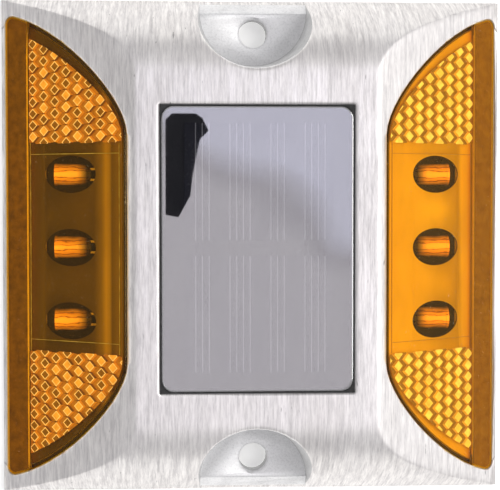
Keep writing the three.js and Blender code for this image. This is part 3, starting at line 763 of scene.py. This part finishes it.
def prism_faces(start, second, odd):
    """Faces of one cube corner whose points begin at start, each with its kind."""
    faces = [(tuple(range(start, start + 4)), SECOND_FACE if second else FACE)]
    for k in range(4):
        after = (k + 1) % 4
        faces.append(((start + k, start + after, start + 4 + after, start + 4 + k), FRAME))
    right, top, left, bottom = range(start + 4, start + 8)
    feet = range(start + 8, start + 14)
    return faces + [
        ((right, feet[0], feet[1], top), NEAR_SIDE),
        ((bottom, feet[5], feet[0], right), NEAR_SIDE),
        ((top, feet[2], feet[3], left), FAR_SIDE),
        ((left, feet[3], feet[4], bottom), ODD_SIDE if odd else FAR_SIDE),
        ((top, feet[1], feet[2]), ODD_SIDE),
        ((bottom, feet[4], feet[5]), ODD_SIDE),
    ]


def prism_half(chance, seconds, sign, mirror):
    """The cube corners of one zone. seconds gives the share of second faces at its outer and inner column."""
    points, faces = [], []
    for column, x, y in prism_cells():
        tilt = chance.normal(0, PRISM_TILT, 2)
        second = chance.random() < seconds[0] + (seconds[1] - seconds[0]) * column / PRISM_COLUMNS
        odd = chance.random() < 0.5
        faces += prism_faces(len(points), second, odd)
        points += prism_rings(x, y, tilt)
    turn = np.array([sign, sign * mirror])
    data = bpy.data.meshes.new("prism_half")
    turned = [(x * turn[0] * MM, y * turn[1] * MM, z * MM) for x, y, z in points]
    data.from_pydata(turned, [], [face for face, _ in faces])
    for _ in PRISM_KINDS:
        data.materials.append(None)
    data.polygons.foreach_set("material_index", [kind for _, kind in faces])
    edit = bmesh.new()
    edit.from_mesh(data)
    bmesh.ops.remove_doubles(edit, verts=edit.verts, dist=1e-7)
    trim(edit, prism_border(), turn)
    edit.to_mesh(data)
    edit.free()
    return data


def prisms(side, sign, materials, seconds):
    """Both zones of cube corners moulded inside one lens."""
    chance = np.random.default_rng(PRISM_SEED[side])
    edit = bmesh.new()
    for mirror in (1, -1):
        half = prism_half(chance, seconds, sign, mirror)
        edit.from_mesh(half)
        bpy.data.meshes.remove(half)
    bmesh.ops.recalc_face_normals(edit, faces=edit.faces)
    if sum(face.normal.z for face in edit.faces) < 0:
        bmesh.ops.reverse_faces(edit, faces=edit.faces)
    data = bpy.data.meshes.new(f"lens_prisms_{side}")
    edit.to_mesh(data)
    edit.free()
    for material in materials:
        data.materials.append(material)
    piece = bpy.data.objects.new(f"lens_prisms_{side}", data)
    bpy.context.scene.collection.objects.link(piece)
    return place(piece, "amber_lens")


def tray(side, sign, material, shade):
    """The white moulding behind the lens, with an oval opening over each LED whose walls get painted shade.
    """
    flange = lens_outline(-FLANGE_INSET, LENS_LIP - LIP_GAP)
    outline = lens_outline(-TRAY_INSET, LENS_LIP - LIP_GAP)
    points, faces = stack([sloped(flange, TRAY_TOP + FLANGE), sloped(flange, TRAY_TOP)])
    piece = mesh(f"lens_tray_{side}", points, faces, material, 30, sign)
    points, faces = stack([sloped(outline, TRAY_BOTTOM), sloped(outline, TRAY_TOP + FLANGE / 2)])
    boolean(piece, mesh("tray_body", points, faces, material, 30, sign), "UNION")
    turn = np.linspace(0, 2 * math.pi, 64, endpoint=False)
    for y in LED_Y:
        oval = [(EYE_X + EYE_HALF[0] * math.cos(a), y + EYE_HALF[1] * math.sin(a)) for a in turn]
        cutter_points, cutter_faces = stack([[(px, py, z) for px, py in oval] for z in (0, HEIGHT)])
        boolean(piece, mesh("eye", cutter_points, cutter_faces, material, 30, sign), "DIFFERENCE")
    piece.data.materials.clear()
    piece.data.materials.append(material)
    piece.data.materials.append(shade)
    # Painted shade on the steep walls of the oval openings.
    for face in piece.data.polygons:
        x, y = abs(face.center.x) / MM, abs(face.center.y) / MM
        in_eyes = abs(x - EYE_X) < EYE_HALF[0] + 0.1 and y < LED_ZONE
        face.material_index = 1 if in_eyes and abs(face.normal.z) < 0.5 else 0
    return place(piece, "white_tray", f"lens_tray_{side}")


def lathe_x(profile, y, z, steps):
    """Rings of points turned about an axis along X, from a profile of (x, radius)."""
    turn = np.linspace(0, 2 * math.pi, steps, endpoint=False)
    return [[(x, y + r * math.cos(a), z + r * math.sin(a)) for a in turn] for x, r in profile]


def led(side, sign, number, y, epoxy, metal):
    """A bullet-shaped LED lying along X, its round end inwards and its rim outwards, with its two leads."""
    profile = [(LED_BACK, 1.1), (LED_BACK + 0.25, 1.6), (LED_BACK + 0.8, 2.0), (LED_BACK + 1.6, 2.3),
               (LED_BACK + 2.8, LED_R - 0.03), (LED_BACK + 4, LED_R), (LED_FACE - 0.7, LED_R)]
    rim = LED_R + LED_RIM
    profile += [(LED_FACE - 0.6, rim), (LED_FACE - 0.12, rim), (LED_FACE, LED_R + 0.05)]
    points, faces = stack(lathe_x(profile, y, LED_Z, 40))
    capsule = mesh(f"led_{side}_{number}", points, faces, epoxy, 35, sign)
    place(capsule, "led_lens", f"led_{side}_{number}")
    leads = []
    for across in (-LEAD_Y, LEAD_Y):
        corner_signs = ((-1, -1), (1, -1), (1, 1), (-1, 1))
        section = [(y + across + a * LEAD_HALF, LED_Z + b * LEAD_HALF) for a, b in corner_signs]
        leads.append(stack([[(x, a, b) for a, b in section] for x in (LED_BACK - 1.6, LED_BACK + 0.4)]))
    points, faces = join(leads)
    place(mesh(f"led_leads_{side}_{number}", points, faces, metal, 30, sign), "bright_metal")


# ---- solar panel ----

def solar_window(material):
    half_x, half_y = WINDOW_HIGH[0], WINDOW_HIGH[1]
    bottom, top = WINDOW_LOW[2], WINDOW_HIGH[2]
    rings = []
    below = ((0.15, bottom), (0, bottom + 0.15))
    above = ((0, top - 0.2), (0.07, top - 0.06), (0.22, top), (0.5, top))
    for inset, z in below + above:
        outline = rounded_rectangle(half_x - inset, half_y - inset, WINDOW_CORNER - inset)
        rings.append([(x, y, z) for x, y in outline])
    points, faces = stack(rings)
    return place(mesh("solar_window", points, faces, material, 40), "clear_cover", "solar_window")


def cell_fingers(material):
    """The printed silver lines on the cells, in groups of three and four."""
    top = corners("solar_cell_1")[1][2]
    (foot, foot_z), (crest, crest_z) = FINGER_FOOT, FINGER_TOP
    section = [(-foot, foot_z), (-crest, crest_z), (crest, crest_z), (foot, foot_z)]
    lines = []
    for row in range(2):
        for column, count in enumerate(FINGER_GROUPS):
            low, high = corners(f"solar_cell_{row * len(FINGER_GROUPS) + column + 1}")
            for i in range(count):
                x = (low[0] + high[0]) / 2 + (i - (count - 1) / 2) * FINGER_PITCH
                ends = (low[1] + FINGER_INSET, high[1] - FINGER_INSET)
                lines.append(stack([[(x + dx, y, top + z) for dx, z in section] for y in ends]))
    points, faces = join(lines)
    return place(mesh("cell_fingers", points, faces, material), "bright_metal")


# ---- camera, light and floor ----

def camera():
    data = bpy.data.cameras.new("camera")
    data.sensor_width = 36
    data.lens = CAMERA_LENS
    data.clip_start = 0.01
    eye = bpy.data.objects.new("camera", data)
    eye.location = Vector(CAMERA_PLACE) * MM
    eye.rotation_euler = [math.radians(angle) for angle in CAMERA_TURN]
    bpy.context.scene.collection.objects.link(eye)
    bpy.context.scene.camera = eye


def key_light():
    """A rectangular lamp that faces the marker. Its brightness is given as what a mirror would show."""
    data = bpy.data.lights.new("key", "AREA")
    data.shape = "RECTANGLE"
    data.size, data.size_y = KEY_SIZE
    data.energy = KEY_RADIANCE * math.pi * KEY_SIZE[0] * KEY_SIZE[1]
    data.color = (1.0, 0.985, 0.95)
    lamp = bpy.data.objects.new("key", data)
    lamp.location = KEY_PLACE
    lamp.rotation_euler = Vector(KEY_PLACE).to_track_quat("Z", "Y").to_euler()
    lamp.visible_camera = False
    bpy.context.scene.collection.objects.link(lamp)


def sky():
    """A pale room, dimmer to the left of the marker than to the right, and dimmer beyond its two ends."""
    world = bpy.data.worlds.new("studio")
    world.use_nodes = True
    tree = world.node_tree
    background = tree.nodes["Background"]
    direction = tree.nodes.new("ShaderNodeTexCoord").outputs["Generated"]
    to_right = rescale(tree, axis(tree, direction, "X"), -1.0, 1.0, 0.55, 1.05)
    to_ends = compute(tree, "ABSOLUTE", axis(tree, direction, "Y"))
    strength = compute(tree, "MULTIPLY", to_right, rescale(tree, to_ends, 0.35, 1.0, 1.0, 0.72))
    tree.links.new(strength, background.inputs["Strength"])
    background.inputs["Color"].default_value = (0.99, 0.98, 1.0, 1)
    bpy.context.scene.world = world


def card(name, outline, height, material):
    """A flat card hung over the marker, out of the camera's own sight, given in millimetres."""
    data = bpy.data.meshes.new(name)
    data.from_pydata([(x * MM, y * MM, 0) for x, y in outline], [], [tuple(range(len(outline)))])
    data.materials.append(material)
    piece = bpy.data.objects.new(name, data)
    piece.location.z = height * MM
    piece.visible_camera = False
    bpy.context.scene.collection.objects.link(piece)


def glow(name, build):
    look = Look(name)
    look.nodes.remove(look.surface)
    light = look.nodes.new("ShaderNodeEmission")
    look.links.new(light.outputs["Emission"], look.output.inputs["Surface"])
    build(look, light)
    return look.material


def ceiling_glow(look, light):
    """A lilac sky over the far right and grey over the rest, with a dull band along the slanting border."""
    turn = look.nodes.new("ShaderNodeMapping")
    turn.inputs["Rotation"].default_value[2] = math.radians(CEILING_TURN)
    turn.inputs["Location"].default_value[1] = CEILING_SHIFT * MM
    look.links.new(look.place, turn.inputs["Vector"])
    wobble = compute(look.tree, "MULTIPLY_ADD", look.noise(0.008, detail=2.0), 0.1, -0.05)
    beyond = compute(look.tree, "ADD", wobble, axis(look.tree, turn.outputs["Vector"], "Y"))
    spread = rescale(look.tree, beyond, -0.05, 0.05)
    grey, dull, lilac = (0.98, 0.93, 0.99), (0.82, 0.78, 0.84), (1.18, 1.16, 1.36)
    tone = look.ramp(spread, (0.0, grey), (0.3, grey), (0.42, dull), (0.6, lilac), (1.0, lilac))
    look.links.new(tone, light.inputs["Color"])


def camera_shade(_look, light):
    """Near black, as a lens or a dark window reflects."""
    light.inputs["Color"].default_value = (0.012, 0.012, 0.015, 1)


def floor():
    """Pale paper on a light table, so that the anchor holes show white."""
    look = Look("paper").set(Roughness=0.8, Emission_Strength=0.35)
    fibre = look.noise(0.6, detail=4.0)
    look.link(look.ramp(fibre, (0.3, (0.88, 0.88, 0.86)), (0.7, (0.93, 0.93, 0.91))), "Base Color")
    look.link(look.ramp(fibre, (0.3, (0.97, 0.97, 0.96)), (0.7, (1.0, 1.0, 0.99))), "Emission Color")
    outline = [(x * FLOOR_HALF, y * FLOOR_HALF, 0) for x, y in ((-1, -1), (1, -1), (1, 1), (-1, 1))]
    ground = bpy.data.meshes.new("floor")
    ground.from_pydata(outline, [], [(0, 1, 2, 3)])
    ground.materials.append(look.material)
    sheet = bpy.data.objects.new("floor", ground)
    sheet.location.z = -0.2 * MM
    bpy.context.scene.collection.objects.link(sheet)


def stage():
    sky()
    floor()
    bpy.context.scene.view_settings.view_transform = "Standard"
    key_light()
    card("ceiling", CEILING_OUTLINE, CEILING, glow("ceiling", ceiling_glow))
    card("camera_shade", SHADE_OUTLINE, SHADE, glow("camera_shade", camera_shade))


# ---- hidden and carried-over pieces ----

def carried_over(looks):
    """Gives each CAD node the finish for its name or its slot, if there is one."""
    slots = {s["node"]: s["material_slot"] for s in frame["record"]["subparts"]}
    for name, node in frame["nodes"].items():
        look = looks.get(name) or looks.get(slots[name])
        if look is not None:
            node.data.materials.clear()
            node.data.materials.append(look)


FINISHES = {
    # name or slot: dark colour, light colour, grain, roughness of each, relief in millimetres, metallic
    "solar_silicon": ((0.012, 0.013, 0.02), (0.022, 0.024, 0.036), 1.2, (0.3, 0.2), 0.004),
    "black_board": ((0.012, 0.012, 0.013), (0.03, 0.03, 0.032), 2.0, (0.5, 0.4), 0.01),
    "green_board": ((0.02, 0.11, 0.05), (0.035, 0.17, 0.08), 1.4, (0.45, 0.3), 0.02),
    "seal": ((0.012, 0.012, 0.012), (0.03, 0.03, 0.03), 1.5, (0.8, 0.65), 0.05),
    # The lip seals of the two lenses are one part; the left one is darker as painted shade.
    "lens_lip_seal_right": ((0.18, 0.15, 0.13), (0.3, 0.26, 0.22), 0.5, (0.7, 0.6), 0.05),
    "lens_lip_seal_left": ((0.12, 0.09, 0.08), (0.27, 0.22, 0.18), 0.5, (0.7, 0.6), 0.05),
    # The ribs of both lenses are one moulding; their different colours, paler on the left and browner on the
    # right, are painted light and shade.
    "rib_right": ((0.5, 0.3, 0.2), (0.65, 0.42, 0.3), 1.0, (0.4, 0.3), 0.01),
    "rib_left": ((0.35, 0.3, 0.3), (0.95, 0.95, 0.9), 0.35, (0.4, 0.3), 0.01),
    # Painted shade for the walls of the oval openings in the trays.
    "eye_shade": ((0.07, 0.06, 0.055), (0.16, 0.14, 0.12), 0.8, (0.7, 0.6), 0.05),
    "black_plastic": ((0.02, 0.02, 0.021), (0.045, 0.045, 0.047), 3.0, (0.6, 0.45), 0.03),
    "resistor_body": ((0.4, 0.25, 0.12), (0.6, 0.42, 0.24), 1.5, (0.45, 0.35), 0.02),
    "battery_sleeve": ((0.03, 0.2, 0.09), (0.06, 0.32, 0.16), 0.3, (0.4, 0.28), 0.02),
    "bright_metal": ((0.55, 0.56, 0.58), (0.75, 0.76, 0.78), 3.0, (0.35, 0.22), 0.01, 1.0),
    "white_strap": ((0.7, 0.7, 0.66), (0.85, 0.85, 0.8), 1.5, (0.6, 0.45), 0.02),
    "red_wire": ((0.35, 0.02, 0.015), (0.5, 0.04, 0.03), 1.0, (0.4, 0.3), 0.02),
    "black_wire": ((0.015, 0.015, 0.016), (0.03, 0.03, 0.032), 1.0, (0.45, 0.3), 0.02),
    "silver_paste": ((0.42, 0.41, 0.43), (0.6, 0.59, 0.6), 3.0, (0.6, 0.5), 0.004),
}


looks = {name: speckled(name, *values) for name, values in FINISHES.items()}
amber = clear_amber()
# Facet colours are painted reflection, light and shade for the way each facet faces, paler on the right lens
# than the left; the last number is a painted glow.
painted_light_facets = {
    "right": prism_facets("right", ((1, 1, 1), (1, 0.8, 0.6), (1, 0.92, 0.8), (0.3, 0.17, 0.06),
                                    (1, 0.62, 0.22), (0.65, 0.36, 0.12)), 0.25),
    "left": prism_facets("left", ((0.22, 0.1, 0.02), (0.85, 0.45, 0.2), (1, 0.75, 0.9), (0.4, 0.16, 0.03),
                                  (0.62, 0.27, 0.05), (0.16, 0.06, 0.02)), 0.6),
}
second_faces = {"right": (0.55, 0.08), "left": (0.1, 0.85)}  # shares at the outer and inner column of squares showing the second painted reflection
trays = {
    "right": tray_plastic("tray_right", (29, 0.95), (52, 0.95)),
    # The left tray is the same white moulding, painted dark as shade, with a paler painted band of light near
    # its inner side.
    "left": tray_plastic("tray_left_painted_shade", (-52.5, 0.16), (-48, 0.09), (-37, 0.11), (-35.2, 0.3), (-34.2, 0.62),
                         (-33.4, 0.5), (-32.8, 0.16), (-31, 0.3), (-29, 0.3)),
}
epoxy = led_epoxy()

camera()
stage()
# One cast finish in two copies: paler on level faces as painted light, darker on steep walls as painted
# shade.
lit_level_cast = cast_aluminium("cast_aluminium", 0.97, 0.6)
shaded_wall_cast = cast_aluminium("cast_wall_painted_shade", 0.6, 1.0)
housing(brushed_aluminium(), lit_level_cast, shaded_wall_cast)
for side, sign in SIDES.items():
    lens(side, sign, amber)
    prisms(side, sign, painted_light_facets[side], second_faces[side])
    lens_ribs(side, sign, looks[f"rib_{side}"])
    tray(side, sign, trays[side], looks["eye_shade"])
    for number, led_y in enumerate(LED_Y, 1):
        led(side, sign, number, led_y, epoxy, looks["bright_metal"])
solar_window(clear_cover())
cell_fingers(looks["silver_paste"])
carried_over(looks)
